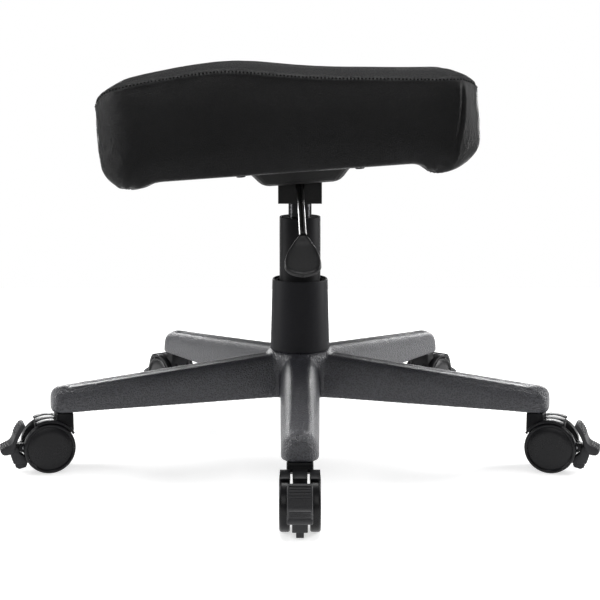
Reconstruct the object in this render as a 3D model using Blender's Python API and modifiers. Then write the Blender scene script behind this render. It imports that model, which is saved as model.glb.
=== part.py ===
"""Rolling height-adjustable stool: five-arm nylon base on braked twin-wheel casters, gas lift, padded seat.

Everything hangs from one empty on the column's axis. Metres, +Z up, the floor at z = 0, the lever towards -Y.
"""

import math

import bmesh
import bpy
from mathutils import Matrix, Vector

# ---------------------------------------------------------------- driving dimensions, metres
GAP = 0.0003                    # clearance between touching pieces

WHEEL_RADIUS = 0.030
WHEEL_WIDTH = 0.011
WHEEL_INNER_FACE = 0.0103       # from the caster's middle plane
TRAIL = 0.0195                  # caster stem axis to wheel axle
STEM_CIRCLE = 0.2930            # radius of the circle through the caster stems
STEM_RADIUS = 0.0055
AXLE_RADIUS = 0.004
WEB_HALF = 0.0075               # half thickness of the caster's middle web
PAD_HALF = 0.013                # half width of the brake pedal's tread
PEDAL_REACH = 0.0563            # wheel axle to the pedal's tip
PEDAL_DROP = 0.0010             # pedal tip below the axle
BRAKE_PIVOT = 0.029             # brake pin outward of the axle

ARM_COUNT = 5
FIRST_ARM_DEG = 270.0           # the front arm points along -Y
ARM_BOTTOM = 0.0705
ARM_TIP = 0.3075
ARM_TOP_AT_HUB = 0.1235
ARM_TOP_AT_TIP = 0.0985
ARM_HALF_AT_HUB = 0.0240
ARM_HALF_AT_TIP = 0.0198
ARM_WALL = 0.0040
HUB_TOP = 0.1260
HUB_RADIUS = 0.0395

TUBE_RADIUS = 0.0250
TUBE_TOP = 0.2890
TUBE_FOOT = 0.0600
PISTON_RADIUS = 0.0140
PISTON_TOP = 0.3170

BOX_FLOOR = 0.3080              # underside of the lift housing
BOX_HALF_WIDTH = 0.0260
BOX_FRONT = -0.0360
BOX_BACK = 0.0440
BOX_WALL = 0.0025
LEVER_HEIGHT = 0.3270
LEVER_ROD_RADIUS = 0.0040

SEAT_PLANE = 0.3570             # underside of the seat board above the column's axis
SEAT_TILT_DEG = 4.12            # the thick end is the low one
SEAT_LEFT = -0.2220
SEAT_RIGHT = 0.2015
SEAT_HALF_DEPTH = 0.1700
COVER_BOTTOM = -0.0020
LEFT_LOW_ROLL = 0.85            # how far each end's lower edge rolls up, as a share of its upper edge's roll
RIGHT_LOW_ROLL = 0.25
COVER_WALL = 0.0015
BOARD_THICKNESS = 0.0100
PAN_THICKNESS = 0.0020
PAN_TOP = -0.0015               # seat frame, top of the pan's flange
PAN_DEPTH = 0.0195
BOLT_X = 0.0680
BOLT_Y = 0.0950
BOLT_HOLE = 0.0033

FRONT_REACH = STEM_CIRCLE + TRAIL + PEDAL_REACH
BACK_ANGLE = math.radians(FIRST_ARM_DEG + 2 * 360.0 / ARM_COUNT - 360.0)
BACK_REACH = FRONT_REACH * math.sin(BACK_ANGLE) + PAD_HALF * abs(math.cos(BACK_ANGLE))
COLUMN_Y = (FRONT_REACH - BACK_REACH) / 2

ARM_NAMES = ("front", "right", "back_right", "back_left", "left")


# ---------------------------------------------------------------- scene, materials and small helpers
def clear_scene():
    for item in list(bpy.data.objects):
        bpy.data.objects.remove(item, do_unlink=True)


def new_collection(name):
    made = bpy.data.collections.new(name)
    bpy.context.scene.collection.children.link(made)
    return made


def new_material(name, colour, roughness, metallic=0.0):
    made = bpy.data.materials.new(name)
    made.use_nodes = True
    shader = made.node_tree.nodes["Principled BSDF"]
    shader.inputs["Base Color"].default_value = (*colour, 1.0)
    shader.inputs["Roughness"].default_value = roughness
    shader.inputs["Metallic"].default_value = metallic
    return made


def new_object(name, mesh, collection):
    made = bpy.data.objects.new(name, mesh)
    collection.objects.link(made)
    return made


def new_empty(name, collection, parent=None, location=(0.0, 0.0, 0.0), rotation=(0.0, 0.0, 0.0)):
    made = new_object(name, None, collection)
    made.parent = parent
    made.location = location
    made.rotation_euler = rotation
    return made


def mesh_from(bm, name):
    mesh = bpy.data.meshes.new(name)
    bm.to_mesh(mesh)
    bm.free()
    return mesh


def smooth(mesh, angle_deg=35.0):
    mesh.shade_smooth()
    mesh.set_sharp_from_angle(angle=math.radians(angle_deg))


def evaluated_mesh(item, name):
    """The item's mesh after its modifiers, with loose caps welded; the item itself is removed."""
    bpy.context.view_layer.update()
    graph = bpy.context.evaluated_depsgraph_get()
    mesh = bpy.data.meshes.new_from_object(item.evaluated_get(graph))
    mesh.name = name
    bm = bmesh.new()
    bm.from_mesh(mesh)
    bmesh.ops.remove_doubles(bm, verts=bm.verts, dist=0.00002)
    bm.to_mesh(mesh)
    bm.free()
    bpy.data.objects.remove(item, do_unlink=True)
    return mesh


def moved(mesh, matrix):
    mesh.transform(matrix)
    return mesh


# ---------------------------------------------------------------- shapes
def box_mesh(low, high, bevel=0.0, segments=2):
    low = Vector(low)
    high = Vector(high)
    bm = bmesh.new()
    place = Matrix.Translation((low + high) / 2) @ Matrix.Diagonal((*(high - low), 1.0))
    bmesh.ops.create_cube(bm, size=1.0, matrix=place)
    if bevel:
        bmesh.ops.bevel(bm, geom=bm.edges[:], offset=bevel, segments=segments, profile=0.5, affect="EDGES")
    return mesh_from(bm, "box")


def rod_mesh(radius, start, end, sides=24, end_radius=None):
    """A capped cylinder or cone between two points."""
    start = Vector(start)
    end = Vector(end)
    run = end - start
    turn = run.to_track_quat("Z", "Y").to_matrix().to_4x4()
    bm = bmesh.new()
    bmesh.ops.create_cone(
        bm,
        cap_ends=True,
        segments=sides,
        radius1=radius,
        radius2=radius if end_radius is None else end_radius,
        depth=run.length,
        matrix=Matrix.Translation((start + end) / 2) @ turn,
    )
    return mesh_from(bm, "rod")


def turned_mesh(profile, closed=True, steps=32):
    """Turn (radius, height) points about Z; they run down the outer side and back up the inner one."""
    bm = bmesh.new()
    points = [bm.verts.new((radius, 0.0, height)) for radius, height in profile]
    for first, second in zip(points, points[1:]):
        bm.edges.new((first, second))
    if closed:
        bm.edges.new((points[-1], points[0]))
    item = new_object("turning", mesh_from(bm, "profile"), scratch)
    screw = item.modifiers.new("turn", "SCREW")
    screw.steps = steps
    screw.render_steps = steps
    screw.use_merge_vertices = True
    screw.merge_threshold = 0.00001
    return evaluated_mesh(item, "turned")


def outline_mesh(points, half_thickness):
    """A flat outline in X-Z, extruded the same way to both sides along Y."""
    curve = bpy.data.curves.new("outline", "CURVE")
    curve.dimensions = "2D"
    curve.fill_mode = "BOTH"
    curve.extrude = half_thickness
    spline = curve.splines.new("POLY")
    spline.points.add(len(points) - 1)
    for target, (across, up) in zip(spline.points, points):
        target.co = (across, up, 0.0, 1.0)
    spline.use_cyclic_u = True
    mesh = evaluated_mesh(new_object("outline", curve, scratch), "outline")
    bpy.data.curves.remove(curve)
    return moved(mesh, Matrix.Rotation(math.pi / 2, 4, "X"))


def loft_mesh(rings):
    """Join closed rings of equal length in order and cap both ends."""
    bm = bmesh.new()
    made = [[bm.verts.new(point) for point in ring] for ring in rings]
    for ring, following in zip(made, made[1:]):
        for index, corner in enumerate(ring):
            after = (index + 1) % len(ring)
            bm.faces.new((corner, ring[after], following[after], following[index]))
    bm.faces.new(reversed(made[0]))
    bm.faces.new(made[-1])
    bmesh.ops.recalc_face_normals(bm, faces=bm.faces)
    return mesh_from(bm, "loft")


def combined(base, others, operation):
    """The base mesh joined with, or cut by, each of the other meshes in turn."""
    item = new_object("work", base, scratch)
    tools = []
    for other in others:
        tool = new_object("tool", other, scratch)
        tool.display_type = "WIRE"
        tool.hide_render = True
        change = item.modifiers.new("change", "BOOLEAN")
        change.operation = operation
        change.solver = "EXACT"
        change.object = tool
        tools.append(tool)
    mesh = evaluated_mesh(item, "combined")
    for tool in tools:
        bpy.data.objects.remove(tool, do_unlink=True)
    return mesh


def gathered(meshes):
    """Several separate meshes held in one, for a cutter with many bodies."""
    bm = bmesh.new()
    for mesh in meshes:
        bm.from_mesh(mesh)
    return mesh_from(bm, "gathered")


def part(name, mesh, material, parent, location=(0.0, 0.0, 0.0), rotation=(0.0, 0.0, 0.0)):
    made = new_object(name, mesh, stool)
    if not mesh.materials:
        mesh.materials.append(material)
    smooth(mesh)
    made.parent = parent
    made.location = location
    made.rotation_euler = rotation
    return made


# ---------------------------------------------------------------- star base
def arm_ring(reach, inset):
    """One arched cross-section of an arm, standing across the arm at this distance from the column."""
    along = (reach - HUB_RADIUS) / (ARM_TIP - HUB_RADIUS)
    half = ARM_HALF_AT_HUB + (ARM_HALF_AT_TIP - ARM_HALF_AT_HUB) * along
    top = ARM_TOP_AT_HUB + (ARM_TOP_AT_TIP - ARM_TOP_AT_HUB) * along
    round_from = ARM_TIP - ARM_HALF_AT_TIP
    rounding = max(0.0, (reach - round_from) / ARM_HALF_AT_TIP)
    fullness = (1.0 - rounding ** 3) ** 0.5
    half = half * (0.30 + 0.70 * fullness) - inset
    height = (top - ARM_BOTTOM) * (0.62 + 0.38 * fullness) - inset
    start = ARM_BOTTOM - (0.002 if inset else 0.0)
    ring = []
    sides = 10
    for step in range(sides + 1):
        turn = math.pi * step / sides
        across = math.copysign(abs(math.cos(turn)) ** 0.62, math.cos(turn))
        ring.append((reach, half * across, ARM_BOTTOM + height * math.sin(turn) ** 0.72))
    ring[0] = (reach, half, start)
    ring[-1] = (reach, -half, start)
    return ring


def arm_mesh(reaches, inset=0.0):
    return loft_mesh([arm_ring(reach, inset) for reach in reaches])


def spread(start, end, count):
    return [start + (end - start) * step / (count - 1) for step in range(count)]


def star_base_mesh():
    tip_start = ARM_TIP - ARM_HALF_AT_TIP
    tip_run = [tip_start + ARM_HALF_AT_TIP * math.sin(math.pi / 2 * step / 6) for step in range(1, 7)]
    reaches = spread(0.020, tip_start, 6) + tip_run
    hub = turned_mesh([
        (0.0, HUB_TOP),
        (HUB_RADIUS - 0.002, HUB_TOP),
        (HUB_RADIUS, HUB_TOP - 0.002),
        (HUB_RADIUS + 0.0025, ARM_BOTTOM),
        (0.0, ARM_BOTTOM),
    ], closed=False, steps=30)
    arms = []
    pockets = []
    sockets = []
    for index in range(ARM_COUNT):
        turn = Matrix.Rotation(math.radians(FIRST_ARM_DEG + index * 360.0 / ARM_COUNT), 4, "Z")
        arms.append(moved(arm_mesh(reaches), turn))
        for start, end in ((0.050, 0.118), (0.122, 0.194), (0.198, 0.270)):
            pockets.append(moved(arm_mesh(spread(start, end, 2), ARM_WALL), turn))
        socket = rod_mesh(STEM_RADIUS + GAP, (STEM_CIRCLE, 0, 0.060), (STEM_CIRCLE, 0, 0.0905), 16)
        sockets.append(moved(socket, turn))
    bore = rod_mesh(0.0239, (0, 0, TUBE_FOOT), (0, 0, 0.128), 30, TUBE_RADIUS + GAP)
    solid = combined(hub, arms, "UNION")
    return combined(solid, [gathered(pockets), gathered(sockets), bore], "DIFFERENCE")


def make_star_base(axis):
    nylon = new_material("base_nylon", (0.030, 0.031, 0.034), 0.48)
    part("star_base", star_base_mesh(), nylon, axis)


# ---------------------------------------------------------------- gas lift and its covers
def make_gas_lift(axis, lift):
    steel = new_material("column_steel", (0.022, 0.022, 0.024), 0.36, 0.4)
    tube = turned_mesh([
        (0.0225, TUBE_TOP),
        (TUBE_RADIUS - 0.0006, TUBE_TOP),
        (TUBE_RADIUS, TUBE_TOP - 0.0006),
        (TUBE_RADIUS, 0.1283),
        (0.0236, TUBE_FOOT),
        (0.0053, TUBE_FOOT),
        (0.0053, TUBE_FOOT + 0.003),
        (0.0205, TUBE_FOOT + 0.003),
        (0.0225, 0.1283),
    ], steps=30)
    part("gas_column_tube", tube, steel, axis)
    bush = turned_mesh([
        (PISTON_RADIUS + GAP, TUBE_TOP - 0.0008),
        (0.0222, TUBE_TOP - 0.0008),
        (0.0222, 0.2250),
        (PISTON_RADIUS + GAP, 0.2250),
    ])
    part("guide_bush", bush, new_material("bush_acetal", (0.012, 0.012, 0.012), 0.5), axis)
    bearing = turned_mesh([
        (0.0054, 0.0700),
        (0.0160, 0.0700),
        (0.0160, TUBE_FOOT + 0.003 + GAP),
        (0.0054, TUBE_FOOT + 0.003 + GAP),
    ], steps=24)
    bright = new_material("bearing_steel", (0.55, 0.55, 0.56), 0.3, 1.0)
    part("thrust_bearing", bearing, bright, axis)
    rod = rod_mesh(0.0050, (0, 0, 0.0540), (0, 0, 0.2845), 20)
    part("piston_rod", rod, new_material("rod_steel", (0.60, 0.60, 0.62), 0.2, 1.0), axis)
    clip = turned_mesh([(0.0053, 0.0595), (0.0090, 0.0595), (0.0090, 0.0575), (0.0053, 0.0575)], steps=20)
    part("rod_clip", clip, new_material("clip_steel", (0.35, 0.35, 0.36), 0.35, 1.0), axis)
    piston = turned_mesh([
        (0.0, 0.3030),
        (0.0041, 0.3030),
        (0.0041, PISTON_TOP),
        (0.0132, PISTON_TOP),
        (PISTON_RADIUS, 0.3060),
        (PISTON_RADIUS, 0.0950),
        (0.0054, 0.0950),
        (0.0054, 0.2975),
        (0.0, 0.2975),
    ], closed=False)
    part("lift_cylinder", piston, new_material("cylinder_steel", (0.16, 0.16, 0.17), 0.16, 1.0), lift)


def make_column_covers(axis):
    plastic = new_material("cover_plastic", (0.020, 0.020, 0.022), 0.38)
    foot = HUB_TOP + GAP
    outer = turned_mesh([
        (0.0320, 0.2130),
        (0.0333, 0.2130),
        (0.0340, 0.2118),
        (0.0366, foot + 0.001),
        (0.0362, foot),
        (0.0342, foot),
    ], steps=36)
    part("outer_cover_sleeve", outer, plastic, axis)
    inner = turned_mesh([
        (0.0274, 0.2114),
        (0.0310, 0.2114),
        (0.0316, 0.2106),
        (0.0316, 0.2060),
        (0.0310, foot),
        (0.0290, foot),
    ], steps=30)
    part("inner_cover_sleeve", inner, new_material("inner_cover_plastic", (0.024, 0.024, 0.026), 0.42), axis)


# ---------------------------------------------------------------- lift housing, lever and button
def seat_slope_at(across):
    return across * math.tan(math.radians(SEAT_TILT_DEG))


def make_lift_housing(lift):
    top = SEAT_PLANE + PAN_TOP - PAN_DEPTH - PAN_THICKNESS - GAP
    bm = bmesh.new()
    middle = Vector((0.0, (BOX_FRONT + BOX_BACK) / 2, BOX_FLOOR + 0.02))
    size = (2 * BOX_HALF_WIDTH, BOX_BACK - BOX_FRONT, 0.04)
    bmesh.ops.create_cube(bm, size=1.0, matrix=Matrix.Translation(middle) @ Matrix.Diagonal((*size, 1.0)))
    for corner in bm.verts:
        if corner.co.z > BOX_FLOOR + 0.02:
            corner.co.z = top + seat_slope_at(corner.co.x)
    lids = [face for face in bm.faces if face.normal.z > 0.9]
    bmesh.ops.delete(bm, geom=lids, context="FACES_ONLY")
    item = new_object("housing", mesh_from(bm, "housing"), scratch)
    wall = item.modifiers.new("wall", "SOLIDIFY")
    wall.thickness = BOX_WALL
    wall.offset = -1.0
    wall.use_even_offset = True
    shell = evaluated_mesh(item, "housing")
    hole = rod_mesh(PISTON_RADIUS + GAP, (0, 0, BOX_FLOOR - 0.005), (0, 0, BOX_FLOOR + 0.006), 32)
    slot = rod_mesh(
        LEVER_ROD_RADIUS + 0.0012, (0, BOX_FRONT - 0.005, LEVER_HEIGHT), (0, BOX_FRONT + 0.006, LEVER_HEIGHT), 20
    )
    black = new_material("housing_steel", (0.018, 0.018, 0.019), 0.42, 0.3)
    part("lift_housing", combined(shell, [hole, slot], "DIFFERENCE"), black, lift)
    socket = turned_mesh([
        (PISTON_RADIUS + GAP, 0.3165),
        (0.0175, 0.3165),
        (0.0175, BOX_FLOOR + BOX_WALL + GAP),
        (PISTON_RADIUS + GAP, BOX_FLOOR + BOX_WALL + GAP),
    ])
    part("taper_socket", socket, new_material("socket_steel", (0.05, 0.05, 0.05), 0.45, 0.8), lift)
    button_top = LEVER_HEIGHT - LEVER_ROD_RADIUS - GAP
    button = rod_mesh(0.0038, (0, 0, 0.3093), (0, 0, button_top), 20)
    part("release_button", button, new_material("button_steel", (0.5, 0.5, 0.5), 0.3, 1.0), lift)


def paddle_outline():
    """Rounded triangle hanging from its neck at the top; the lower edge is a shallow arc."""
    neck = 0.0045
    wide = 0.0200
    points = [(-neck, 0.0), (neck, 0.0), (0.0100, -0.0085), (0.0160, -0.0205), (0.0192, -0.0315)]
    arc_steps = 8
    for step in range(arc_steps + 1):
        turn = math.pi * step / arc_steps
        points.append((wide * math.cos(turn), -0.0350 - 0.0085 * math.sin(turn) ** 0.8))
    points += [(-0.0192, -0.0315), (-0.0160, -0.0205), (-0.0100, -0.0085)]
    return points


def make_lever(pivot):
    """The rod presses the button behind the pivot; its paddle hangs in front of the column."""
    bend = (0.0, -0.006, 0.0)
    end = (0.0032, -0.1340, -0.0390)
    curve = bpy.data.curves.new("lever_path", "CURVE")
    curve.dimensions = "3D"
    curve.bevel_depth = LEVER_ROD_RADIUS
    curve.bevel_resolution = 3
    curve.use_fill_caps = True
    spline = curve.splines.new("POLY")
    path = [(0.0, 0.042, 0.0), (0.0, 0.002, 0.0), bend, (0.0003, -0.014, -0.0018), end]
    spline.points.add(len(path) - 1)
    for target, place in zip(spline.points, path):
        target.co = (*place, 1.0)
    rod = evaluated_mesh(new_object("lever_path", curve, scratch), "lever_rod")
    bpy.data.curves.remove(curve)
    part("lever_rod", rod, new_material("lever_steel", (0.02, 0.02, 0.02), 0.35, 0.5), pivot)
    plate = outline_mesh(paddle_outline(), 0.0026)
    lip = rod_mesh(0.0036, (-0.0150, 0.0, -0.0385), (0.0150, 0.0, -0.0385), 12)
    socket = rod_mesh(0.0052, (0, 0, 0.0065), (0, 0, -0.0100), 16)
    blank = combined(plate, [lip, socket], "UNION")
    place = Matrix.Translation(end) @ Matrix.Rotation(math.radians(-24.0), 4, "X")
    blank = moved(blank, place)
    start = Vector(path[-2])
    run = (Vector(end) - start).normalized()
    drill = rod_mesh(LEVER_ROD_RADIUS + GAP, Vector(end) - run * 0.03, Vector(end) + run * GAP, 16)
    paddle = combined(blank, [drill], "DIFFERENCE")
    part("lever_paddle", paddle, new_material("paddle_plastic", (0.020, 0.020, 0.022), 0.4), pivot)


# ---------------------------------------------------------------- seat
def seat_top_at(across):
    """Height of the top seam above the board's underside: a low hump over the left third."""
    left = (across - SEAT_LEFT) / (SEAT_RIGHT - SEAT_LEFT)
    hump_width = 0.31 if left < 0.30 else 0.22
    hump = math.exp(-((left - 0.30) / hump_width) ** 2)
    return 0.0865 + 0.0270 * hump + 0.0110 * math.exp(-((left - 0.62) / 0.20) ** 2)


def cushion_ring(across, inset, floor, bottom_radius):
    """A rounded, crowned cross-section of the cushion at this place along its length."""
    end_gap = min(across - SEAT_LEFT, SEAT_RIGHT - across)
    plan_radius = 0.040 - inset
    roll_radius = 0.028 - inset
    plan = min(plan_radius, max(0.0, plan_radius + inset - end_gap))
    roll = min(roll_radius, max(0.0, roll_radius + inset - end_gap))
    plan_drop = plan_radius - math.sqrt(plan_radius ** 2 - plan ** 2)
    roll_drop = roll_radius - math.sqrt(roll_radius ** 2 - roll ** 2)
    half = SEAT_HALF_DEPTH - 0.85 * plan_drop - inset
    low_share = LEFT_LOW_ROLL if across < 0.0 else RIGHT_LOW_ROLL
    bottom = max(floor, COVER_BOTTOM + inset + low_share * roll_drop)
    seam = seat_top_at(across) - 0.65 * roll_drop - inset
    crown = 0.0095 * (1.0 - 0.7 * roll / roll_radius)
    top_radius = 0.016
    side = [(half * 0.78, bottom)]
    for step in range(4):
        turn = math.pi / 2 * step / 3
        side.append((
            half - bottom_radius + bottom_radius * math.sin(turn),
            bottom + bottom_radius - bottom_radius * math.cos(turn),
        ))
    side.append((half + 0.0020, (bottom + seam) / 2))
    for step in range(3):
        turn = math.pi / 2 * step / 3
        side.append((
            half - top_radius + top_radius * math.cos(turn),
            seam - top_radius + top_radius * math.sin(turn),
        ))
    for share in (0.88, 0.60, 0.30, 0.0):
        side.append((half * share, seam + crown * (1.0 - share ** 2)))
    mirrored = [(-deep, high) for deep, high in reversed(side[:-1])]
    middle = [(0.0, bottom)]
    return [(across, deep, high) for deep, high in side + mirrored + middle]


def cushion_mesh(inset, floor, bottom_radius):
    steps = [0.0, 0.003, 0.009, 0.018, 0.030, 0.046, 0.070]
    middle = spread(SEAT_LEFT + 0.105, SEAT_RIGHT - 0.105, 5)
    left = [SEAT_LEFT + inset + step for step in steps]
    right = [SEAT_RIGHT - inset - step for step in reversed(steps)]
    places = left + middle + right
    return loft_mesh([cushion_ring(across, inset, floor, bottom_radius) for across in places])


def cover_mesh():
    """The upholstery: the cushion's skin, open underneath where it is turned in below the board."""
    bm = bmesh.new()
    bm.from_mesh(cushion_mesh(0.0, COVER_BOTTOM, 0.010))
    opened = []
    for face in bm.faces:
        spot = face.calc_center_median()
        flat = face.normal.z < -0.9 and abs(spot.z - COVER_BOTTOM) < 0.0005
        if flat and abs(spot.y) < 0.72 * SEAT_HALF_DEPTH and SEAT_LEFT + 0.05 < spot.x < SEAT_RIGHT - 0.05:
            opened.append(face)
    bmesh.ops.delete(bm, geom=opened, context="FACES")
    item = new_object("skin", mesh_from(bm, "skin"), scratch)
    wall = item.modifiers.new("wall", "SOLIDIFY")
    wall.thickness = COVER_WALL
    wall.offset = -1.0
    return evaluated_mesh(item, "cover")


def rounded_plate(left, right, half_depth, low, high, radius):
    bm = bmesh.new()
    place = Matrix.Translation(((left + right) / 2, 0, (low + high) / 2))
    size = Matrix.Diagonal((right - left, 2 * half_depth, high - low, 1.0))
    bmesh.ops.create_cube(bm, size=1.0, matrix=place @ size)
    corners = [edge for edge in bm.edges if abs(edge.verts[0].co.z - edge.verts[1].co.z) > (high - low) / 2]
    bmesh.ops.bevel(bm, geom=corners, offset=radius, segments=4, profile=0.5, affect="EDGES")
    return mesh_from(bm, "plate")


def bolt_places():
    return [(side * BOLT_X, end * BOLT_Y) for end in (-1, 1) for side in (-1, 1)]


def bolt_holes(low, high):
    return gathered([rod_mesh(BOLT_HOLE, (x, y, low), (x, y, high), 12) for x, y in bolt_places()])


def pan_mesh():
    """Pressed pan: a flange, sloping walls and a flat floor, drawn as one sheet and thickened."""
    bm = bmesh.new()
    bmesh.ops.create_grid(bm, x_segments=1, y_segments=1, size=0.5)
    for corner in bm.verts:
        corner.co.x *= 0.156
        corner.co.y *= 0.210
    sheet = bm.faces[:]
    bmesh.ops.inset_region(bm, faces=sheet, thickness=0.026, depth=0.0, use_boundary=True)
    drop = bmesh.ops.extrude_face_region(bm, geom=sheet)
    fresh = [item for item in drop["geom"] if isinstance(item, bmesh.types.BMVert)]
    for corner in fresh:
        corner.co.x *= 0.74
        corner.co.y *= 0.80
        corner.co.z -= PAN_DEPTH
    bmesh.ops.delete(bm, geom=sheet, context="FACES_ONLY")
    edges = [edge for edge in bm.edges if len(edge.link_faces) == 2]
    bmesh.ops.bevel(bm, geom=edges, offset=0.007, segments=3, profile=0.5, affect="EDGES")
    bmesh.ops.recalc_face_normals(bm, faces=bm.faces)
    if sum(face.normal.z for face in bm.faces) > 0.0:
        bmesh.ops.reverse_faces(bm, faces=bm.faces)
    item = new_object("pan", mesh_from(bm, "pan"), scratch)
    item.location.z = PAN_TOP
    wall = item.modifiers.new("wall", "SOLIDIFY")
    wall.thickness = PAN_THICKNESS
    wall.offset = 1.0
    wall.use_even_offset = True
    mesh = evaluated_mesh(item, "pan")
    return moved(mesh, Matrix.Translation((0, 0, PAN_TOP)))


def bolt_mesh():
    """Flanged button-head bolt, its head down and its shank up through the pan into the board."""
    under = PAN_TOP - PAN_THICKNESS - GAP
    return turned_mesh([
        (0.0, 0.0085),
        (0.0030, 0.0085),
        (0.0030, under),
        (0.0065, under),
        (0.0065, under - 0.0012),
        (0.0048, under - 0.0036),
        (0.0, under - 0.0042),
    ], closed=False, steps=16)


def make_seat(tilted):
    steel = new_material("pan_steel", (0.018, 0.018, 0.019), 0.40, 0.3)
    pan = combined(pan_mesh(), [bolt_holes(-0.02, 0.01)], "DIFFERENCE")
    part("seat_pan", pan, steel, tilted)
    bolt_finish = new_material("bolt_steel", (0.35, 0.35, 0.36), 0.3, 1.0)
    shared_bolt = bolt_mesh()
    for index, (x, y) in enumerate(bolt_places(), start=1):
        part(f"seat_bolt_{index}", shared_bolt, bolt_finish, tilted, (x, y, 0.0))
    board = rounded_plate(SEAT_LEFT + 0.036, SEAT_RIGHT - 0.036, 0.152, 0.0, BOARD_THICKNESS, 0.028)
    board = combined(board, [bolt_holes(-0.01, 0.02)], "DIFFERENCE")
    part("seat_board", board, new_material("board_plywood", (0.45, 0.30, 0.17), 0.7), tilted)
    cloth = rounded_plate(SEAT_LEFT + 0.085, SEAT_RIGHT - 0.085, 0.115, -0.0012, -GAP, 0.012)
    cloth = combined(cloth, [bolt_holes(-0.01, 0.02)], "DIFFERENCE")
    part("dust_cloth", cloth, new_material("dust_cloth_fabric", (0.02, 0.02, 0.02), 0.95), tilted)
    foam = cushion_mesh(0.0030, BOARD_THICKNESS + GAP, 0.010)
    part("seat_foam", foam, new_material("seat_foam_grey", (0.55, 0.53, 0.48), 0.9), tilted)
    part("seat_cover", cover_mesh(), new_material("seat_vinyl", (0.014, 0.014, 0.015), 0.42), tilted)


# ---------------------------------------------------------------- casters
def arc_points(radius, start_deg, end_deg, steps, centre=(0.0, 0.0)):
    points = []
    for step in range(steps + 1):
        turn = math.radians(start_deg + (end_deg - start_deg) * step / steps)
        points.append((centre[0] + radius * math.cos(turn), centre[1] + radius * math.sin(turn)))
    return points


def caster_body_mesh():
    """Hood and middle web, drawn about the wheel axle: X outward, Y along the axle, Z up."""
    hood = outline_mesh(arc_points(0.0336, 64, 150, 8) + arc_points(0.0308, 150, 64, 8), 0.0208)
    web = arc_points(0.0240, 60, 300, 14) + arc_points(0.0055, -90, 90, 4, (BRAKE_PIVOT, 0.0))
    middle = outline_mesh(web, WEB_HALF)
    bridge = outline_mesh(arc_points(0.0320, 62, 150, 8) + [(-0.0180, 0.0), (0.0120, 0.0)], WEB_HALF)
    collar_high = ARM_BOTTOM - GAP - WHEEL_RADIUS
    collar = box_mesh((-TRAIL - 0.0100, -0.0140, 0.0150), (-TRAIL + 0.0100, 0.0140, collar_high), 0.003, 1)
    wells = [
        rod_mesh(0.0308, (0, side * (WEB_HALF + GAP), 0), (0, side * 0.025, 0), 28)
        for side in (-1, 1)
    ]
    collar = combined(collar, wells, "DIFFERENCE")
    body = combined(middle, [bridge, hood, collar], "UNION")
    stem_hole = rod_mesh(STEM_RADIUS + GAP, (-TRAIL, 0, 0.0120), (-TRAIL, 0, 0.0500), 14)
    axle_hole = rod_mesh(AXLE_RADIUS + GAP, (0, -0.02, 0), (0, 0.02, 0), 14)
    pin_hole = rod_mesh(0.0020 + GAP, (BRAKE_PIVOT, -0.02, 0), (BRAKE_PIVOT, 0.02, 0), 12)
    slot = box_mesh((0.0215, -0.0040, -0.0120), (0.0400, 0.0040, 0.0120))
    return combined(body, [stem_hole, axle_hole, pin_hole, slot], "DIFFERENCE")


def wheel_mesh():
    """One wheel about Z, its outer face up: rounded tread, dished face and a hub cap."""
    return turned_mesh([
        (0.0, WHEEL_WIDTH),
        (0.0270, WHEEL_WIDTH),
        (0.0292, WHEEL_WIDTH - 0.0010),
        (WHEEL_RADIUS, WHEEL_WIDTH - 0.0028),
        (WHEEL_RADIUS, 0.0016),
        (0.0285, 0.0),
        (AXLE_RADIUS + GAP, 0.0),
        (AXLE_RADIUS + GAP, WHEEL_WIDTH - 0.0035),
        (0.0, WHEEL_WIDTH - 0.0035),
    ], closed=False, steps=24)


def brake_pedal_mesh():
    """Rocker drawn about its pin: wide tread above, narrower claw and tongue below."""
    def about_pin(points):
        return [(across - BRAKE_PIVOT, up) for across, up in points]
    tread = [
        (0.0270, 0.0290), (0.0314, 0.0290), (0.0375, 0.0210), (0.0410, 0.0105), (0.0452, 0.0060),
        (0.0550, 0.0012), (PEDAL_REACH, -PEDAL_DROP), (0.0520, -0.0062), (0.0450, -0.0055),
        (0.0405, -0.0025), (0.0372, 0.0075), (0.0325, 0.0170), (0.0280, 0.0250),
    ]
    claw = [
        (0.0385, 0.0030), (0.0448, -0.0045), (0.0428, -0.0130), (0.0412, -0.0185), (0.0238, -0.0185),
        (0.0260, -0.0135), (0.0295, -0.0095), (0.0335, -0.0065), (0.0350, 0.0005),
    ]
    tongue = [
        (0.0400, -0.0120), (0.0385, -0.0240), (0.0345, -0.0262),
        (0.0270, -0.0245), (0.0250, -0.0210), (0.0280, -0.0120),
    ]
    lug = arc_points(0.0048, 90, 270, 8, (BRAKE_PIVOT, 0.0)) + [(0.0385, -0.0048), (0.0395, 0.0048)]
    parts = [
        outline_mesh(about_pin(claw), 0.0080),
        outline_mesh(about_pin(tongue), 0.0040),
        outline_mesh(about_pin(lug), 0.0037),
    ]
    blank = combined(outline_mesh(about_pin(tread), PAD_HALF), parts, "UNION")
    hole = rod_mesh(0.0020 + GAP, (0, -0.02, 0), (0, 0.02, 0), 12)
    return combined(blank, [hole], "DIFFERENCE")


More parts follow.
